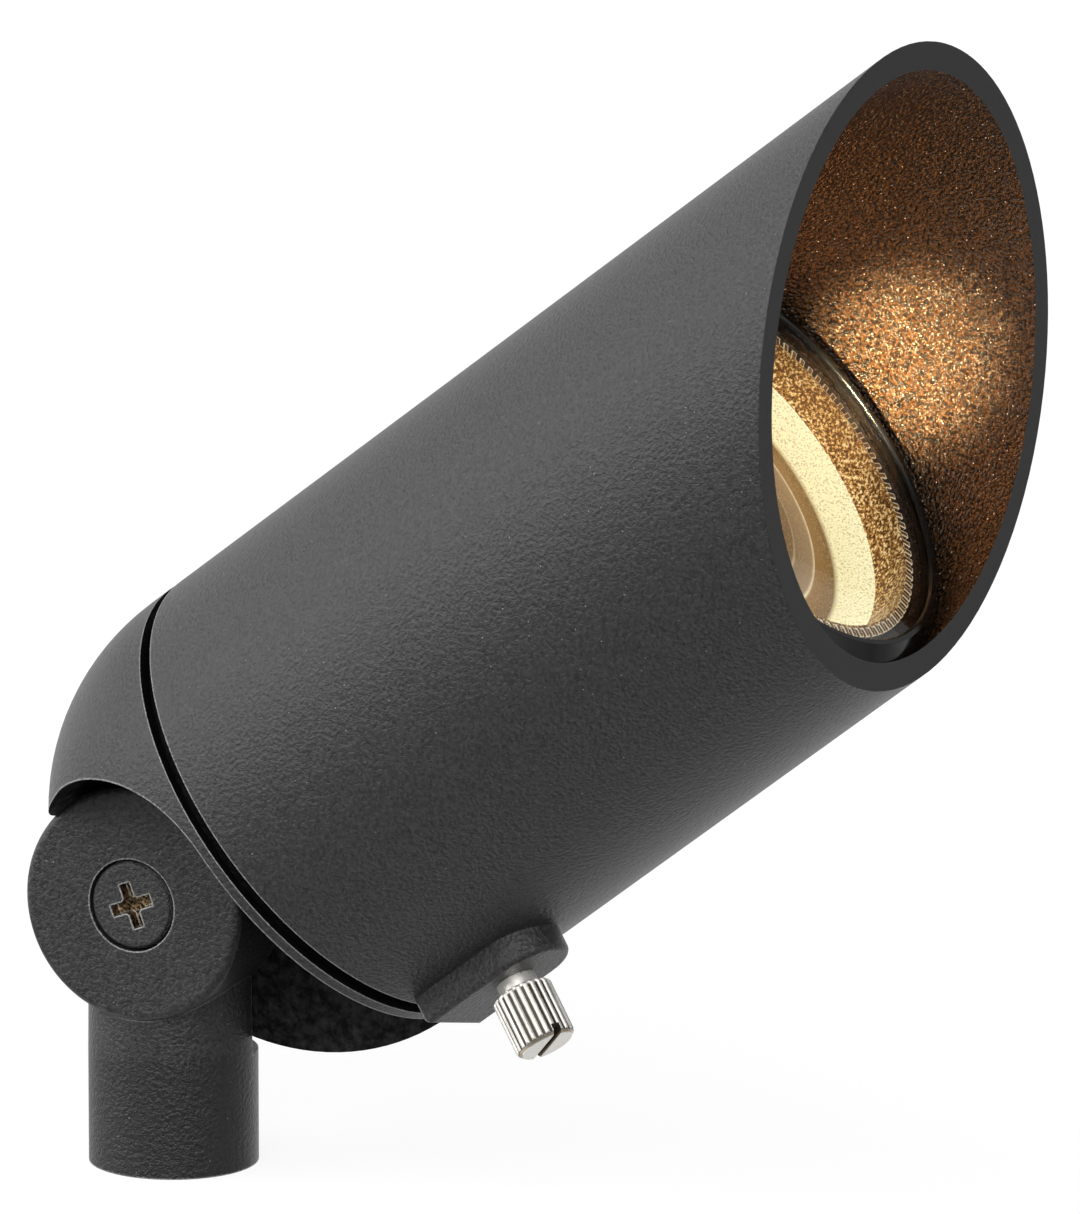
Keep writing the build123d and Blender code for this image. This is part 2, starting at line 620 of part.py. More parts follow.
def socket_bracket():
    """Steel strap that carries the lampholder across the rear housing's two posts."""
    length = post_spread + POST_DIAMETER
    middle = Pos((bracket_rear + socket_rear) / 2, 0, 0)
    strap = middle * Box(BRACKET_THICKNESS, length, BRACKET_WIDTH)
    strap = fillet(strap.edges().filter_by(Axis.X), BRACKET_WIDTH / 4)
    screws = ((post_spread, SMALL_SCREW_DIAMETER), (SOCKET_SCREW_SPACING, SOCKET_SCREW_DIAMETER))
    for spread, diameter in screws:
        hole = rod_x(diameter / 2 + THREAD_FIT, bracket_rear - OVERCUT, socket_rear + OVERCUT)
        strap -= pair(hole, spread)
    hole_height = LEAD_DIAMETER + 2 * LEAD_HOLE_GAP
    strap -= middle * Box(2 * BRACKET_THICKNESS, LEAD_SPACING + hole_height, hole_height)
    return TUBE * strap


def bracket_screws():
    """Two pan-head screws that hold the strap to the posts."""
    head_end = socket_rear + SMALL_HEAD_HEIGHT
    shank_tip = socket_rear - SMALL_SCREW_LENGTH
    shank = rod_x(SMALL_SCREW_DIAMETER / 2, shank_tip, socket_rear + SMALL_SLOT_DEPTH)
    head = rod_x(SMALL_HEAD_DIAMETER / 2, socket_rear, head_end)
    head = fillet(head.edges().group_by(Axis.X)[-1], SMALL_HEAD_HEIGHT / 2)
    slot = Pos(head_end, 0, 0) * Box(2 * SMALL_SLOT_DEPTH, 2 * SMALL_HEAD_DIAMETER, SMALL_SLOT_WIDTH)
    return [TUBE * place for place in pair(shank + head - slot, post_spread)]


def socket_screws():
    """Two slim screws from behind the strap into the lampholder."""
    head_end = bracket_rear - SMALL_HEAD_HEIGHT
    shank_tip = socket_rear + SOCKET_LENGTH / 2
    shank = rod_x(SOCKET_SCREW_DIAMETER / 2, bracket_rear - SMALL_SLOT_DEPTH, shank_tip)
    head = rod_x(SOCKET_HEAD_DIAMETER / 2, head_end, bracket_rear)
    head = fillet(head.edges().group_by(Axis.X)[0], SMALL_HEAD_HEIGHT / 2)
    slot = Pos(head_end, 0, 0) * Box(2 * SMALL_SLOT_DEPTH, 2 * SOCKET_HEAD_DIAMETER, SMALL_SLOT_WIDTH)
    return [TUBE * place for place in pair(shank + head - slot, SOCKET_SCREW_SPACING)]


def lead_wires():
    """Two leads from the back of the lampholder to the grommet in the ear."""
    leads = []
    for side in (-1, 1):
        start_y = side * LEAD_SPACING / 2
        level = AXIS_DROP + start_y
        path = FilletPolyline(
            (socket_rear, start_y, 0),
            (bracket_rear - LEAD_BEND, start_y, 0),
            (bulkhead_front + LEAD_BEND / 2, lead_run, level),
            (wire_hole_offset, lead_run, level),
            (wire_hole_offset, JOINT_PLANE + LEAD_END_SETBACK, level),
            radius=LEAD_BEND_RADIUS,
        )
        section = Plane(origin=path @ 0, z_dir=path % 0) * Circle(LEAD_DIAMETER / 2)
        leads.append(TUBE * sweep(section, path))
    return leads


def wire_grommet():
    """Rubber grommet that lines the wire hole in the ear."""
    outer = WIRE_HOLE_DIAMETER / 2
    inner = outer - GROMMET_WALL
    inside = JOINT_PLANE + EAR_FLOOR
    sleeve = rod_y(outer, JOINT_PLANE + LEAD_END_SETBACK, inside)
    flange = rod_y(outer + GROMMET_FLANGE, inside, inside + GROMMET_FLANGE)
    flange = fillet(flange.edges().group_by(Axis.Y)[-1], GROMMET_FLANGE / 2)
    grommet = sleeve + flange - rod_y(inner, JOINT_PLANE, inside + 2 * GROMMET_FLANGE)
    return TUBE * Pos(wire_hole_offset, 0, AXIS_DROP) * grommet


PIECES = {
    "knuckle_stem": knuckle_stem,
    "knuckle_ring": knuckle_ring,
    "knuckle_washer": knuckle_washer,
    "knuckle_screw": knuckle_screw,
    "rear_housing": rear_housing,
    "hood_ring": hood_ring,
    "hood": hood,
    "lens_glass": lens_glass,
    "lens_gasket": lens_gasket,
    "thumbscrew": thumbscrew,
    "lamp_housing": lamp_housing,
    "lamp_base": lamp_base,
    "lamp_pins": lamp_pins,
    "led_board": led_board,
    "lamp_optic": lamp_optic,
    "lamp_bezel": lamp_bezel,
    "lamp_socket": lamp_socket,
    "socket_contacts": socket_contacts,
    "socket_bracket": socket_bracket,
    "bracket_screws": bracket_screws,
    "socket_screws": socket_screws,
    "lead_wires": lead_wires,
    "wire_grommet": wire_grommet,
}

os.makedirs("parts", exist_ok=True)
for name, make in PIECES.items():
    piece = make()
    if isinstance(piece, list):
        piece = Compound(children=piece)
    export_step(piece, f"parts/{name}.step")
    print(name, round(piece.volume, 1))
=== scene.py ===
"""Looks of the accent spotlight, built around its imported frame."""
import math

import bpy
from mathutils import Matrix, Vector


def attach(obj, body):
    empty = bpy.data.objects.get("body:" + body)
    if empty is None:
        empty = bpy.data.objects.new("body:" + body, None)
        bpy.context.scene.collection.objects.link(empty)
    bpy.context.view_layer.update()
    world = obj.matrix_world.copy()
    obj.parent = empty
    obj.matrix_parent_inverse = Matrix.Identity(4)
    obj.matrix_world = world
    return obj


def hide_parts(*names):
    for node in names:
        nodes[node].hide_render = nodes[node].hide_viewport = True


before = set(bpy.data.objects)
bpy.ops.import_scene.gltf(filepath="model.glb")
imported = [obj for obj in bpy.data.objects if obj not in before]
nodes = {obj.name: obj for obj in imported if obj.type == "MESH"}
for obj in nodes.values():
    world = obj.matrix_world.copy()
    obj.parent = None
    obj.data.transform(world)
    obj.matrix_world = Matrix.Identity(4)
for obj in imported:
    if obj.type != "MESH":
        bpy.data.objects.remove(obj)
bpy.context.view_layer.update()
scene = bpy.context.scene

MM = 0.001

# The tube's axis, from the knuckle's pivot. A station is a distance along it.
AIM = math.radians(37.9)
PIVOT = Vector((0, 0, 35.3 * MM))
ALONG = Vector((math.cos(AIM), 0, math.sin(AIM)))
ACROSS = Vector((-math.sin(AIM), 0, math.cos(AIM)))
SIDE = Vector((0, 1, 0))
AXIS_POINT = PIVOT - 1.8 * MM * ACROSS
TUBE_RADIUS = 31.75 * MM
DOME_CENTRE = 21.8 * MM
NECK_START = 24.9 * MM

# The knuckle: the near face of its disc, and where the stem's darker coat, which is painted shade, ends.
DISC_FACE = -11.4 * MM
STEM_TOP = 15 * MM

# The hood is turned about the axis, with its slanted mouth and its thumbscrew.
HOOD_BORE = 28.95 * MM
HOOD_TURN = math.radians(15.6)
HOOD_UP = math.cos(HOOD_TURN) * ACROSS + math.sin(HOOD_TURN) * SIDE
MOUTH_CENTRE = 125.46 * MM
MOUTH_ANGLE = math.radians(53.2)
MOUTH_FACING = math.sin(MOUTH_ANGLE) * ALONG - math.cos(MOUTH_ANGLE) * HOOD_UP
THUMB_STATION = 38.4 * MM
THUMB_WAY = -HOOD_UP


def reach(name):
    """Lowest and highest station of a node."""
    stations = [(corner.co - AXIS_POINT).dot(ALONG) for corner in nodes[name].data.vertices]
    return min(stations), max(stations)


HOOD_REAR = reach("hood")[0]
GASKET_BACK = reach("lens_gasket")[0]
GLASS_FRONT = reach("lens_glass")[1]
RIM_FRONT = reach("lamp_bezel")[1]
OPTIC_BACK, OPTIC_FRONT = reach("lamp_optic")


def grey(level):
    return (level, level, level)


class Paint:
    """A node material around one Principled shader."""

    def __init__(self, name, **sockets):
        self.material = bpy.data.materials.new(name)
        self.material.use_nodes = True
        self.tree = self.material.node_tree
        self.shader = self.tree.nodes["Principled BSDF"]
        self.set(**sockets)
        self.place = self.add("TexCoord").outputs["Object"]

    def add(self, kind, inputs=(), **properties):
        """A new node, with values or links for its inputs."""
        node = self.tree.nodes.new("ShaderNode" + kind)
        for key, value in properties.items():
            setattr(node, key, value)
        for key, value in dict(inputs).items():
            self.feed(node.inputs[key], value)
        return node

    def feed(self, socket, value):
        """Links a socket to another, or sets its value."""
        if isinstance(value, bpy.types.NodeSocket):
            self.tree.links.new(value, socket)
        elif socket.type == "RGBA" and len(value) == 3:
            socket.default_value = (*value, 1)
        else:
            socket.default_value = value

    def set(self, **sockets):
        """Sockets of the shader, with _ for a space in their names."""
        for socket, value in sockets.items():
            self.feed(self.shader.inputs[socket.replace("_", " ")], value)

    def math(self, operation, a, b=0.0, c=0.0):
        return self.add("Math", {0: a, 1: b, 2: c}, operation=operation).outputs[0]

    def times(self, a, b):
        return self.math("MULTIPLY", a, b)

    def vector(self, operation, a, b=(0, 0, 0)):
        node = self.add("VectorMath", {0: a, 1: b}, operation=operation)
        return node.outputs["Value" if operation in ("LENGTH", "DOT_PRODUCT") else "Vector"]

    def noise(self, scale, detail=2.0, rough=0.5):
        inputs = {"Vector": self.place, "Scale": scale, "Detail": detail, "Roughness": rough}
        return self.add("TexNoise", inputs).outputs["Fac"]

    def spread(self, value, low, high, to_low=0.0, to_high=1.0):
        """Smooth step from to_low to to_high, as the value goes from low to high."""
        inputs = {0: value, 1: low, 2: high, 3: to_low, 4: to_high}
        return self.add("MapRange", inputs, interpolation_type="SMOOTHSTEP").outputs[0]

    def ramp(self, value, *stops):
        """Colour by value, from (position, colour) stops."""
        node = self.add("ValToRGB", {0: value})
        band = node.color_ramp
        for element, (position, colour) in zip(band.elements, (stops[0], stops[-1])):
            element.position = position
            element.color = (*colour, 1)
        for position, colour in stops[1:-1]:
            band.elements.new(position).color = (*colour, 1)
        return node.outputs["Color"]

    def mix(self, share, a, b):
        """Colour a where the share is 0, and b where it is 1."""
        node = self.add("Mix", data_type="RGBA")
        self.feed(node.inputs["Factor"], share)
        self.feed(node.inputs[6], a)
        self.feed(node.inputs[7], b)
        return node.outputs[2]

    def bump(self, height, depth, normal=None):
        inputs = {"Height": height, "Distance": depth}
        if normal:
            inputs["Normal"] = normal
        return self.add("Bump", inputs).outputs[0]

    def soft_edge(self, radius):
        """Normal with edges rounded to the radius."""
        return self.add("Bevel", {"Radius": radius}, samples=6).outputs[0]

    def edge(self, radius):
        """0 on flat places, rising towards 1 at edges sharper than the radius."""
        plain = self.add("NewGeometry").outputs["Normal"]
        same = self.vector("DOT_PRODUCT", plain, self.soft_edge(radius))
        return self.math("SUBTRACT", 1.0, same)

    def specks(self, scale, share, radius):
        """1 on sparse small dots of this radius."""
        cells = self.add("TexVoronoi", {"Vector": self.place, "Scale": scale})
        draw = self.add("SeparateColor", {0: cells.outputs["Color"]}).outputs[0]
        chosen = self.math("LESS_THAN", draw, share)
        dot = self.spread(cells.outputs["Distance"], radius * scale, 0.4 * radius * scale)
        return self.times(chosen, dot)

    def away(self, point):
        return self.vector("SUBTRACT", self.place, tuple(point))

    def reach(self, point, way):
        """Distance from a point along a direction."""
        return self.vector("DOT_PRODUCT", self.away(point), tuple(way))

    def from_line(self, point, way):
        """Distance from a line."""
        return self.vector("LENGTH", self.vector("CROSS_PRODUCT", self.away(point), tuple(way)))

    def station(self):
        return self.reach(AXIS_POINT, ALONG)

    def radius(self):
        return self.from_line(AXIS_POINT, ALONG)


def dress(paint, *names):
    """One material on whole nodes."""
    for name in names:
        slots = nodes[name].data.materials
        slots.clear()
        slots.append(paint.material)


def dress_faces(paint, name, chosen):
    """One more material, on the faces of a node whose centre passes a test."""
    mesh = nodes[name].data
    mesh.materials.append(paint.material)
    for face in mesh.polygons:
        if chosen(face.center):
            face.material_index = len(mesh.materials) - 1


def off_axis(point):
    """Station and radius of a point."""
    station = (point - AXIS_POINT).dot(ALONG)
    return station, (point - AXIS_POINT - station * ALONG).length


# Powder coat: charcoal, satin, with orange peel and fine grain, small specks with a painted highlight,
# and worn edges that also carry a painted highlight.
COAT_PIT = (0.015, 0.015, 0.0152)
COAT_TOP = (0.045, 0.045, 0.0455)
COAT_PALE_HIGHLIGHT = (0.60, 0.60, 0.58)
# The stem's coat is darker than the rest: painted shade under the head.
STEM_SHADED_TOP = grey(0.020)
PEEL_SCALE = 2000
PEEL_DEPTH = 0.30 * MM


def coat(name, scale=PEEL_SCALE, depth=PEEL_DEPTH, top=COAT_TOP, zones=None):
    """The coat, whose tone, edge wear with its painted highlight, and roughness zones may change by
    place.
    """
    paint = Paint(name, IOR=1.5)
    peel = paint.noise(scale, 1.5, 0.5)
    fine = paint.noise(2.7 * scale, 2, 0.6)
    mixed = paint.math("MULTIPLY_ADD", fine, 0.35, paint.times(peel, 0.65))
    tone = paint.ramp(mixed, (0.36, COAT_PIT), (0.64, top))
    wear_and_highlight = paint.spread(paint.edge(0.45 * MM), 0.03, 0.14)
    wear_and_highlight = paint.times(wear_and_highlight, paint.spread(fine, 0.35, 0.6, 0.3, 1.0))
    specks = paint.specks(640, 0.5, 0.12 * MM)
    looks = {"tone": tone, "wear_and_highlight": wear_and_highlight, "rough": paint.spread(fine, 0.25, 0.75, 0.27, 0.40)}
    if zones:
        zones(paint, looks)
    # Edges take the pale colour: wear, and also a painted highlight along them.
    tone = paint.mix(looks["wear_and_highlight"], looks["tone"], COAT_PALE_HIGHLIGHT)
    # Specks take the pale colour as a painted highlight on each nib.
    tone = paint.mix(paint.times(specks, 0.6), tone, COAT_PALE_HIGHLIGHT)
    height = paint.math("MULTIPLY_ADD", specks, 0.35, mixed)
    paint.set(Base_Color=tone, Roughness=looks["rough"])
    paint.set(Normal=paint.bump(height, depth, paint.soft_edge(0.25 * MM)))
    return paint


def hood_zones(paint, looks):
    """Worn edges with their painted highlight, only at the rear edge and on the boss."""
    rear = paint.spread(paint.station(), HOOD_REAR + 0.8 * MM, HOOD_REAR + 0.4 * MM)
    boss = paint.spread(paint.radius(), TUBE_RADIUS + 0.5 * MM, TUBE_RADIUS + 0.9 * MM)
    looks["wear_and_highlight"] = paint.times(looks["wear_and_highlight"], paint.math("MAXIMUM", rear, boss))


RECESS_RADIUS = 3.4 * MM
RUST_DARK = (0.03, 0.018, 0.010)
RUST_LIGHT = (0.42, 0.30, 0.17)


def screw_zones(paint, looks):
    """Brown bare steel in the cross recess, with bright worn edges that are also a painted highlight."""
    deep = paint.spread(paint.reach((0, DISC_FACE, 0), SIDE), 0.1 * MM, 0.25 * MM)
    around = paint.from_line(PIVOT, SIDE)
    recess = paint.times(deep, paint.spread(around, RECESS_RADIUS, RECESS_RADIUS - 0.2 * MM))
    rust = paint.ramp(paint.noise(2200, 3, 0.6), (0.42, RUST_DARK), (0.62, RUST_LIGHT))
    bright = paint.spread(around, RECESS_RADIUS + 0.4 * MM, RECESS_RADIUS, 0.0, 2.5)
    looks["tone"] = paint.mix(recess, looks["tone"], rust)
    looks["wear_and_highlight"] = paint.times(looks["wear_and_highlight"], bright)
    paint.set(Metallic=recess)


def casting_in_painted_shade(name, light):
    """Sand-rough casting below the outer skin, made darker and duller as painted shade."""
    paint = Paint(name, Specular_IOR_Level=0.12)
    lumps = paint.noise(750, 4, 0.65)
    paint.set(Base_Color=paint.ramp(lumps, (0.40, grey(0.002)), (0.70, light)))
    paint.set(Roughness=paint.spread(lumps, 0.3, 0.7, 0.7, 0.45))
    paint.set(Normal=paint.bump(lumps, 0.5 * MM))
    return paint


CUT_DARK = (0.021, 0.021, 0.022)
CUT_LIGHT = (0.038, 0.038, 0.039)


def cut_face():
    """Milled and coated face of the hood's mouth."""
    paint = Paint("cut_face", IOR=1.5)
    grain = paint.noise(3200, 2, 0.6)
    paint.set(Base_Color=paint.ramp(grain, (0.35, CUT_DARK), (0.65, CUT_LIGHT)))
    paint.set(Roughness=paint.spread(grain, 0.3, 0.7, 0.42, 0.55))
    paint.set(Normal=paint.bump(grain, 0.03 * MM))
    return paint


# The brown below is painted warm lamplight on the black coat, and the pale speck colour a painted glint.
INSIDE_DARK = (0.002, 0.001, 0.0005)
INSIDE_LAMPLIT_BROWN = (0.060, 0.028, 0.010)
PAINTED_GLINT = (0.95, 0.86, 0.72)


def hood_inside():
    """Coarse coat in front of the lens; its brown stands in for warm lamplight on the black coat, and
    its pale specks are painted glints.
    """
    paint = Paint("hood_inside", Specular_IOR_Level=0.5)
    grain = paint.noise(2300, 1.5, 0.55)
    tone = paint.ramp(grain, (0.42, INSIDE_DARK), (0.58, INSIDE_LAMPLIT_BROWN))
    paint.set(Base_Color=paint.mix(paint.specks(1300, 0.40, 0.12 * MM), tone, PAINTED_GLINT))
    paint.set(Roughness=paint.spread(grain, 0.35, 0.65, 0.30, 0.20))
    paint.set(Normal=paint.bump(grain, 0.60 * MM))
    return paint


# Where the second materials go.
def below_skin(point):
    station, radius = off_axis(point)
    return math.hypot(radius, min(station - DOME_CENTRE, 0)) < TUBE_RADIUS - 0.3 * MM


def on_neck(point):
    return below_skin(point) and off_axis(point)[0] > NECK_START


def at_mouth(point):
    return abs((point - AXIS_POINT - MOUTH_CENTRE * ALONG).dot(MOUTH_FACING)) < 0.05 * MM


def in_front_of_lens(point):
    station, radius = off_axis(point)
    return radius < HOOD_BORE + 0.25 * MM and station > GASKET_BACK


def on_stem(point):
    return point.z < STEM_TOP


dress(coat("hood_coat", zones=hood_zones), "hood")
dress_faces(hood_inside(), "hood", in_front_of_lens)
dress_faces(cut_face(), "hood", at_mouth)
dress(coat("housing_coat"), "rear_housing")
# Faces below the outer skin, recessed behind the disc and the tube, get a darker, duller casting as
# painted shade.
dress_faces(casting_in_painted_shade("casting_in_painted_shade", (0.030, 0.030, 0.029)), "rear_housing", below_skin)
# The neck inside the groove behind the hood is nearly black: painted shade in the gap.
dress_faces(casting_in_painted_shade("neck_painted_shade", grey(0.003)), "rear_housing", on_neck)
dress(coat("disc_coat", 1900, 0.26 * MM), "knuckle_stem")
# The stem below STEM_TOP gets the darker coat, as painted shade.
dress_faces(coat("stem_coat_painted_shade", 1700, 0.34 * MM, STEM_SHADED_TOP), "knuckle_stem", on_stem)
dress(coat("screw_coat", zones=screw_zones), "knuckle_screw")


# Nickel, zinc-plated steel, brass and aluminium.
def metal(name, dark, light, wear_and_highlight, rough, scale=600, zones=None, shine=1.0):
    """Stained metal with bright edges, worn and with a painted highlight. rough is its lowest and
    highest roughness.
    """
    paint = Paint(name, Metallic=shine)
    stain = paint.noise(scale, 4, 0.6)
    tone = paint.ramp(stain, (0.35, dark), (0.65, light))
    # Edges take the worn colour, which is also a painted highlight.
    tone = paint.mix(paint.spread(paint.edge(0.15 * MM), 0.01, 0.12), tone, wear_and_highlight)
    if zones:
        tone = zones(paint, tone)
    paint.set(Base_Color=tone, Roughness=paint.spread(stain, 0.3, 0.7, *rough))
    paint.set(Normal=paint.bump(paint.noise(4 * scale, 2), 0.004 * MM, paint.soft_edge(0.12 * MM)))
    return paint


# The thumbscrew's ribs and slot, from the tube's axis outwards and from the screw's own axis.
RIBS_START = 36.9 * MM
RIBS_END = 44.2 * MM
RIB_ROOT = 3.68 * MM
SLOT_FLOOR = 42.8 * MM
SLOT_REACH = 3.6 * MM
RIB_VALLEY_SHADE = (0.07, 0.055, 0.04)
SLOT_BROWN = (0.50, 0.36, 0.20)


def thumb_zones(paint, tone):
    """Painted shade in the ribs' valleys and brown in the slot."""
    centre = AXIS_POINT + THUMB_STATION * ALONG
    around = paint.from_line(centre, THUMB_WAY)
    out = paint.reach(centre, THUMB_WAY)
    past_start = paint.spread(out, RIBS_START, RIBS_START + 0.3 * MM)
    before_end = paint.spread(out, RIBS_END, RIBS_END - 0.3 * MM)
    at_root = paint.spread(around, RIB_ROOT + 0.08 * MM, RIB_ROOT)
    valley = paint.times(paint.times(past_start, before_end), at_root)
    below_top = paint.spread(out, RIBS_END + 0.1 * MM, RIBS_END)
    above_floor = paint.spread(out, SLOT_FLOOR, SLOT_FLOOR + 0.1 * MM)
    within = paint.spread(around, SLOT_REACH, SLOT_REACH - 0.1 * MM)
    slot = paint.times(paint.times(below_top, above_floor), within)
    return paint.mix(valley, paint.mix(slot, tone, SLOT_BROWN), RIB_VALLEY_SHADE)


nickel = metal(
    "nickel",
    dark=(0.78, 0.75, 0.69),
    light=(0.95, 0.93, 0.88),
    wear_and_highlight=(1.0, 0.98, 0.94),
    rough=(0.24, 0.38),
    zones=thumb_zones,
    shine=0.6,
)
zinc = metal(
    "zinc_steel",
    dark=(0.46, 0.47, 0.49),
    light=(0.66, 0.67, 0.68),
    wear_and_highlight=grey(0.8),
    rough=(0.25, 0.42),
)
brass = metal(
    "brass",
    dark=(0.52, 0.36, 0.13),
    light=(0.72, 0.53, 0.22),
    wear_and_highlight=(0.85, 0.68, 0.35),
    rough=(0.22, 0.38),
)
aluminium = metal(
    "lamp_aluminium",
    dark=grey(0.60),
    light=(0.76, 0.76, 0.75),
    wear_and_highlight=grey(0.86),
    rough=(0.3, 0.48),
    scale=300,
)
dress(nickel, "thumbscrew")
dress(zinc, "knuckle_washer", "socket_bracket", "bracket_screws", "socket_screws")
dress(brass, "lamp_pins", "socket_contacts")
dress(aluminium, "lamp_housing")


# Rubber, moulded plastic, ceramic and wire insulation.
def moulded(name, dark, light, rough, scale, depth):
    """Clouded material with a fine skin. rough is its lowest and highest roughness."""
    paint = Paint(name)
    cloud = paint.noise(scale, 3)
    paint.set(Base_Color=paint.ramp(cloud, (0.35, dark), (0.65, light)))
    paint.set(Roughness=paint.spread(cloud, 0.3, 0.7, *rough))
    paint.set(Normal=paint.bump(paint.noise(5 * scale, 2), depth, paint.soft_edge(0.15 * MM)))
    return paint


rubber = moulded(
    "black_rubber",
    dark=grey(0.012),
    light=(0.022, 0.021, 0.020),
    rough=(0.45, 0.6),
    scale=400,
    depth=0.006 * MM,
)
gasket = moulded(
    "gasket_rubber",
    dark=grey(0.003),
    light=grey(0.006),
    rough=(0.10, 0.2),
    scale=500,
    depth=0.004 * MM,
)
plastic = moulded(
    "lamp_plastic",
    dark=(0.72, 0.72, 0.70),
    light=(0.80, 0.80, 0.78),
    rough=(0.35, 0.5),
    scale=200,
    depth=0.006 * MM,
)
ceramic = moulded(
    "socket_ceramic",
    dark=(0.74, 0.72, 0.67),
    light=(0.84, 0.83, 0.79),
    rough=(0.3, 0.55),
    scale=250,
    depth=0.012 * MM,
)
insulation = moulded(
    "lead_insulation",
    dark=(0.68, 0.66, 0.62),
    light=(0.78, 0.76, 0.73),
    rough=(0.4, 0.5),
    scale=300,
    depth=0.006 * MM,
)
dress(rubber, "knuckle_ring", "hood_ring", "wire_grommet")
dress(gasket, "lens_gasket")
dress(plastic, "lamp_base")
dress(ceramic, "lamp_socket")
dress(insulation, "lead_wires")

# The lamp's board: solder mask with a yellow chip at the middle.
CHIP_RADIUS = 5.0 * MM
MASK_DARK, MASK_LIGHT = (0.70, 0.71, 0.70), (0.80, 0.81, 0.80)
CHIP_DARK, CHIP_LIGHT = (0.80, 0.58, 0.10), (0.90, 0.70, 0.16)


def board():
    paint = Paint("lamp_board", Specular_IOR_Level=0.5)
    grain = paint.noise(700, 2)
    mask = paint.ramp(grain, (0.35, MASK_DARK), (0.65, MASK_LIGHT))
    chip = paint.ramp(grain, (0.35, CHIP_DARK), (0.65, CHIP_LIGHT))
    on_chip = paint.math("LESS_THAN", paint.radius(), CHIP_RADIUS)
    paint.set(Base_Color=paint.mix(on_chip, mask, chip))
    paint.set(Roughness=paint.spread(grain, 0.3, 0.7, 0.35, 0.5))
    return paint


dress(board(), "led_board")

# The lamp's optic: a lit dish with ring steps, in place of its plain solid.
OPTIC_RADIUS = 23.1 * MM
DISH_DEPTH = 3.6 * MM
DISH_RADIUS = 19.8 * MM
DISH_RINGS = (4.6 * MM, 8.2 * MM, 11.8 * MM, 15.4 * MM)
DISH_TURNS = 192
RIM_DEPTH = 1.7 * MM
RIM_STEP = 1.0 * MM
HUB_RADIUS = 0.4 * MM

# Its glow, by share of its radius: a pale hub, ring lines, a brown floor and a cream cone.
GLOW_LEVEL = 1.25
GLOW = (
    (0.00, (0.34, 0.24, 0.15)),
    (0.15, (0.22, 0.15, 0.090)),
    (0.33, (0.17, 0.11, 0.065)),
    (0.35, (0.70, 0.56, 0.36)),
    (0.37, (0.17, 0.11, 0.060)),
    (0.50, (0.14, 0.085, 0.045)),
    (0.52, (0.62, 0.49, 0.31)),
    (0.54, (0.20, 0.13, 0.075)),
    (0.65, (0.27, 0.18, 0.10)),
    (0.67, (0.85, 0.70, 0.46)),
    (0.69, (0.24, 0.12, 0.035)),
    (0.84, (0.13, 0.060, 0.014)),
    (0.865, (0.92, 0.82, 0.48)),
    (1.00, (0.98, 0.90, 0.56)),
)
GLOW_DOT = (0.42, 0.25, 0.08)


def lathe(name, outline):
    """Closed mesh from (station, radius) points, turned around the tube's axis."""
    corners, faces = [], []
    count = len(outline)
    for turn in range(DISH_TURNS):
        angle = 2 * math.pi * turn / DISH_TURNS
        out = math.cos(angle) * ACROSS + math.sin(angle) * SIDE
        for station, radius in outline:
            corners.append(AXIS_POINT + station * ALONG + radius * out)
    front, back = len(corners), len(corners) + 1
    corners.append(AXIS_POINT + outline[0][0] * ALONG)
    corners.append(AXIS_POINT + outline[-1][0] * ALONG)
    for turn in range(DISH_TURNS):
        here, there = turn * count, (turn + 1) % DISH_TURNS * count
        for index in range(count - 1):
            faces.append((here + index, there + index, there + index + 1, here + index + 1))
        faces.append((front, there, here))
        faces.append((back, here + count - 1, there + count - 1))
    mesh = bpy.data.meshes.new(name)
    mesh.from_pydata(corners, [], faces)
    mesh.validate()
    thing = bpy.data.objects.new(name, mesh)
    scene.collection.objects.link(thing)
    return thing


def dish_outline():
    """From the hub over the rings and up the cone, then round the rim to the back."""
    base = OPTIC_FRONT - DISH_DEPTH
    seat = OPTIC_FRONT - RIM_DEPTH
    inner = OPTIC_RADIUS - RIM_STEP
    outline = [(base + 1.9 * MM, HUB_RADIUS)]
    outline += [(base + 1.7 * MM, 1.8 * MM), (base + 1.2 * MM, 3.2 * MM)]
    for ring in DISH_RINGS:
        outline += [(base + 0.55 * MM, ring - 0.25 * MM), (base + 0.6 * MM, ring)]
        outline += [(base + 0.1 * MM, ring + 0.3 * MM)]
    outline += [(base, DISH_RADIUS - 0.3 * MM), (base + 0.15 * MM, DISH_RADIUS)]
    outline += [(OPTIC_FRONT - 0.15 * MM, OPTIC_RADIUS - 0.25 * MM)]
    outline += [(OPTIC_FRONT, OPTIC_RADIUS - 0.15 * MM), (OPTIC_FRONT - 0.1 * MM, OPTIC_RADIUS)]
    outline += [(seat, OPTIC_RADIUS), (seat, inner), (OPTIC_BACK, inner), (OPTIC_BACK, HUB_RADIUS)]
    return outline


def lit_optic():
    paint = Paint("lit_optic", Specular_IOR_Level=0.1, Base_Color=(0.06, 0.05, 0.03))
    grain = paint.noise(4200, 1, 0.5)
    light = paint.ramp(paint.math("DIVIDE", paint.radius(), OPTIC_RADIUS), *GLOW)
    dots = paint.spread(grain, 0.52, 0.66)
    light = paint.mix(paint.times(dots, 0.6), light, GLOW_DOT)
    paint.set(Emission_Color=light, Emission_Strength=GLOW_LEVEL)
    paint.set(Roughness=paint.spread(grain, 0.3, 0.7, 0.3, 0.5))
    paint.set(Normal=paint.bump(grain, 0.02 * MM))
    return paint


dish = lathe("lamp_dish", dish_outline())
dish.data.materials.append(lit_optic().material)
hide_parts("lamp_optic")
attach(dish, "head")

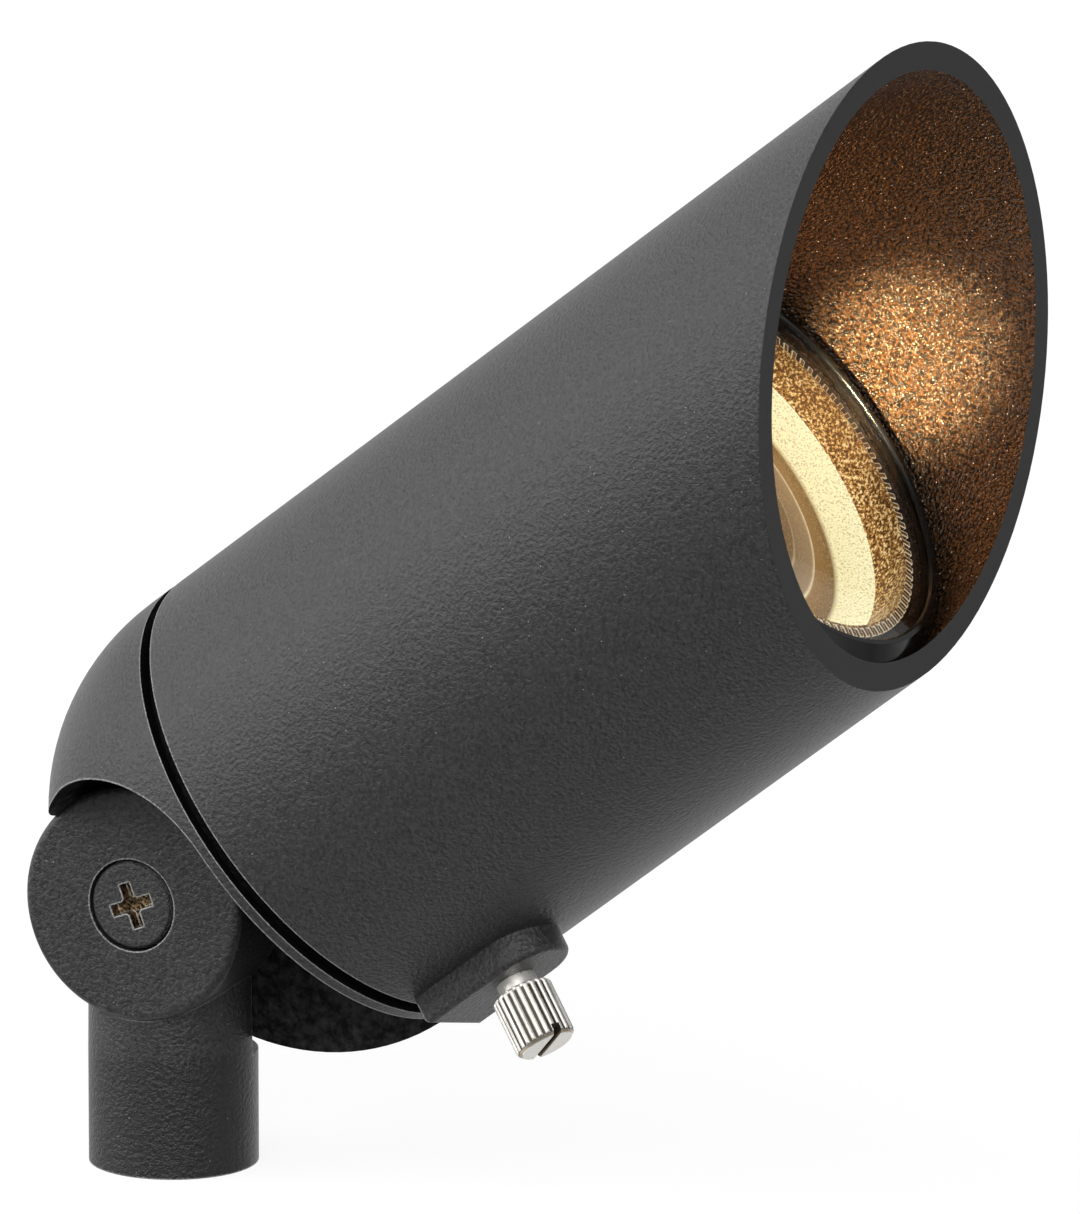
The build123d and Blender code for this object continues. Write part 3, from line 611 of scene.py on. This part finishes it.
# The lamp's rim is no lamp but glows: painted lamplight, gold inside, with painted highlights on its
# teeth's edges and painted shade in its notches.
RIM_INSIDE = 23.45 * MM
LAMPLIT_GOLD = (
    (0.40, (0.025, 0.006, 0.001)),
    (0.48, (0.21, 0.078, 0.010)),
    (0.55, (0.55, 0.27, 0.060)),
    (0.63, (1.00, 0.78, 0.40)),
)
TOOTH_FACE = (0.10, 0.040, 0.010)
TOOTH_EDGE_GLINT = (1.25, 1.05, 0.70)
NOTCH_SHADE = (0.012, 0.006, 0.002)


def rim():
    paint = Paint("lit_rim", Specular_IOR_Level=0.1, Base_Color=(0.05, 0.03, 0.015))
    station = paint.station()
    grain = paint.noise(2600, 2, 0.65)
    outside = paint.spread(paint.radius(), RIM_INSIDE, RIM_INSIDE + 0.15 * MM)
    deep = paint.spread(station, RIM_FRONT - 0.1 * MM, RIM_FRONT - 0.5 * MM)
    # Edges of the teeth get a painted highlight.
    bright = paint.spread(paint.edge(0.30 * MM), 0.015, 0.12)
    tooth = paint.mix(bright, TOOTH_FACE, TOOTH_EDGE_GLINT)
    light = paint.mix(outside, paint.ramp(grain, *LAMPLIT_GOLD), tooth)
    # Deep notches between the teeth get painted shade.
    light = paint.mix(paint.times(paint.times(outside, deep), 0.97), light, NOTCH_SHADE)
    # The glow grows brighter towards the lamp's front: painted lamplight.
    level = paint.spread(station, RIM_FRONT - 0.2 * MM, OPTIC_FRONT, 0.8, 1.2)
    paint.set(Emission_Color=light, Emission_Strength=level)
    paint.set(Roughness=paint.spread(grain, 0.3, 0.7, 0.3, 0.5))
    return paint


dress(rim(), "lamp_bezel")


def glass():
    """Clear glass with faint smudges and little reflection."""
    paint = Paint("clear_glass", Transmission_Weight=1.0, IOR=1.5, Specular_IOR_Level=0.2)
    paint.set(Base_Color=(0.97, 0.99, 0.98))
    paint.set(Roughness=paint.spread(paint.noise(60, 3), 0.45, 0.75, 0.0, 0.02))
    return paint


dress(glass(), "lens_glass")

# The lamp's light, from just in front of the glass: a wide warm spill over the hood's inside,
# and a pale beam onto its far wall.
LIGHT_PLACE = AXIS_POINT + (GLASS_FRONT + 0.3 * MM) * ALONG
SPILL_SIZE = 40 * MM
SPILL_WATTS = 0.018
SPILL_COLOUR = (1.0, 0.40, 0.13)
BEAM_STATION = 111 * MM
BEAM_ANGLE = math.radians(84)
BEAM_SPREAD = math.radians(54)
BEAM_SOURCE = 3 * MM
BEAM_WATTS = 0.70
BEAM_COLOUR = (1.0, 0.73, 0.35)


def shine(data, way):
    """A light in front of the glass, facing a direction."""
    lamp = bpy.data.objects.new(data.name, data)
    scene.collection.objects.link(lamp)
    turn = (-way).to_track_quat("Z", "Y").to_matrix().to_4x4()
    lamp.matrix_world = Matrix.Translation(LIGHT_PLACE) @ turn
    lamp.visible_camera = False
    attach(lamp, "hood")


def lamp_spill():
    data = bpy.data.lights.new("lamp_spill", "AREA")
    data.shape = "DISK"
    data.size = SPILL_SIZE
    data.energy = SPILL_WATTS
    data.color = SPILL_COLOUR
    shine(data, ALONG)


def lamp_beam():
    data = bpy.data.lights.new("lamp_beam", "SPOT")
    data.energy = BEAM_WATTS
    data.color = BEAM_COLOUR
    data.spot_size = BEAM_SPREAD
    data.spot_blend = 1.0
    data.shadow_soft_size = BEAM_SOURCE
    out = math.cos(BEAM_ANGLE) * ACROSS + math.sin(BEAM_ANGLE) * SIDE
    shine(data, AXIS_POINT + BEAM_STATION * ALONG + HOOD_BORE * out - LIGHT_PLACE)


lamp_spill()
lamp_beam()

# Studio: a pale floor that keeps a faint shadow, and a white backdrop for the camera.
FLOOR_HALF = 15.0
FLOOR_DROP = 0.05 * MM
FLOOR_LEVEL = 0.88
BACKDROP_LEVEL = 1.02


def floor():
    spots = [(-FLOOR_HALF, -FLOOR_HALF), (FLOOR_HALF, -FLOOR_HALF)]
    spots += [(FLOOR_HALF, FLOOR_HALF), (-FLOOR_HALF, FLOOR_HALF)]
    mesh = bpy.data.meshes.new("floor")
    mesh.from_pydata([(x, y, 0) for x, y in spots], [], [(0, 1, 2, 3)])
    thing = bpy.data.objects.new("floor", mesh)
    thing.location.z = -FLOOR_DROP
    scene.collection.objects.link(thing)
    paint = Paint("pale_floor", Roughness=0.9, Specular_IOR_Level=0.0)
    paint.set(Base_Color=grey(0.20), Emission_Color=(1, 1, 1), Emission_Strength=FLOOR_LEVEL)
    mesh.materials.append(paint.material)
    thing.visible_diffuse = False
    thing.visible_glossy = False
    thing.visible_shadow = False


floor()

# Soft light by direction: where each lobe is and its level, over an even base.
BASE_LIGHT = 0.02
TIGHTNESS = 9.0
LOBES = (
    ((-0.80, -0.46, 0.38), 4.1),  # key, from the upper left
    ((0.37, -0.80, 0.48), 4.2),  # fill, from above the viewer
    ((-0.79, 0.32, 0.52), 0.6),  # left, behind
    ((-0.05, 1.00, 0.03), 0.9),  # far side
    ((-0.81, 0.57, -0.12), 0.9),  # far side, left
    ((0.13, 0.77, -0.62), 1.0),  # far side, low
    ((-0.38, -0.04, -0.92), 1.5),  # below
    ((0.99, 0.13, -0.07), 0.8),  # in front of the mouth
)


def soft_light(tree):
    """Socket with the level of the soft light, by direction."""
    where = tree.nodes.new("ShaderNodeTexCoord").outputs["Generated"]

    def step(operation, *values):
        node = tree.nodes.new("ShaderNodeMath")
        node.operation = operation
        for socket, value in zip(node.inputs, values):
            if isinstance(value, bpy.types.NodeSocket):
                tree.links.new(value, socket)
            else:
                socket.default_value = value
        return node.outputs[0]

    total = BASE_LIGHT
    for direction, level in LOBES:
        facing = tree.nodes.new("ShaderNodeVectorMath")
        facing.operation = "DOT_PRODUCT"
        tree.links.new(where, facing.inputs[0])
        facing.inputs[1].default_value = Vector(direction).normalized()
        front = step("MAXIMUM", facing.outputs["Value"], 0.0)
        total = step("MULTIPLY_ADD", step("POWER", front, TIGHTNESS), level, total)
    return total


def studio():
    """World of soft light, which the camera sees as plain white."""
    world = bpy.data.worlds.new("studio")
    scene.world = world
    world.use_nodes = True
    tree = world.node_tree
    soft = tree.nodes["Background"]
    soft.inputs["Color"].default_value = (1, 1, 1, 1)
    tree.links.new(soft_light(tree), soft.inputs["Strength"])
    white = tree.nodes.new("ShaderNodeBackground")
    white.inputs["Color"].default_value = (1, 1, 1, 1)
    white.inputs["Strength"].default_value = BACKDROP_LEVEL
    chosen = tree.nodes.new("ShaderNodeMixShader")
    seen = tree.nodes.new("ShaderNodeLightPath").outputs["Is Camera Ray"]
    tree.links.new(seen, chosen.inputs[0])
    tree.links.new(soft.outputs[0], chosen.inputs[1])
    tree.links.new(white.outputs[0], chosen.inputs[2])
    tree.links.new(chosen.outputs[0], tree.nodes["World Output"].inputs["Surface"])


studio()
scene.view_settings.view_transform = "Standard"

# Camera, as fitted to the outlines in the photo. Its place is in tube radii from the pivot.
CAMERA_TURN = math.radians(25.35)
CAMERA_LIFT = math.radians(12.941)
CAMERA_BACK, CAMERA_RIGHT, CAMERA_UP = 60, 1.451, 1.10
SENSOR = 36.0
FOCAL_PIXELS = 15197
IMAGE_HEIGHT = 1214


def camera():
    level = math.cos(CAMERA_LIFT)
    right = Vector((math.cos(CAMERA_TURN), math.sin(CAMERA_TURN), 0))
    back = Vector((math.sin(CAMERA_TURN) * level, -math.cos(CAMERA_TURN) * level, math.sin(CAMERA_LIFT)))
    up = back.cross(right)
    data = bpy.data.cameras.new("camera")
    data.sensor_width = SENSOR
    data.lens = SENSOR * FOCAL_PIXELS / IMAGE_HEIGHT
    data.clip_start = 0.05
    data.clip_end = 100
    thing = bpy.data.objects.new("camera", data)
    scene.collection.objects.link(thing)
    place = PIVOT + TUBE_RADIUS * (CAMERA_BACK * back + CAMERA_RIGHT * right + CAMERA_UP * up)
    turned = Matrix((right, up, back)).transposed().to_4x4()
    thing.matrix_world = Matrix.Translation(place) @ turned
    scene.camera = thing


camera()
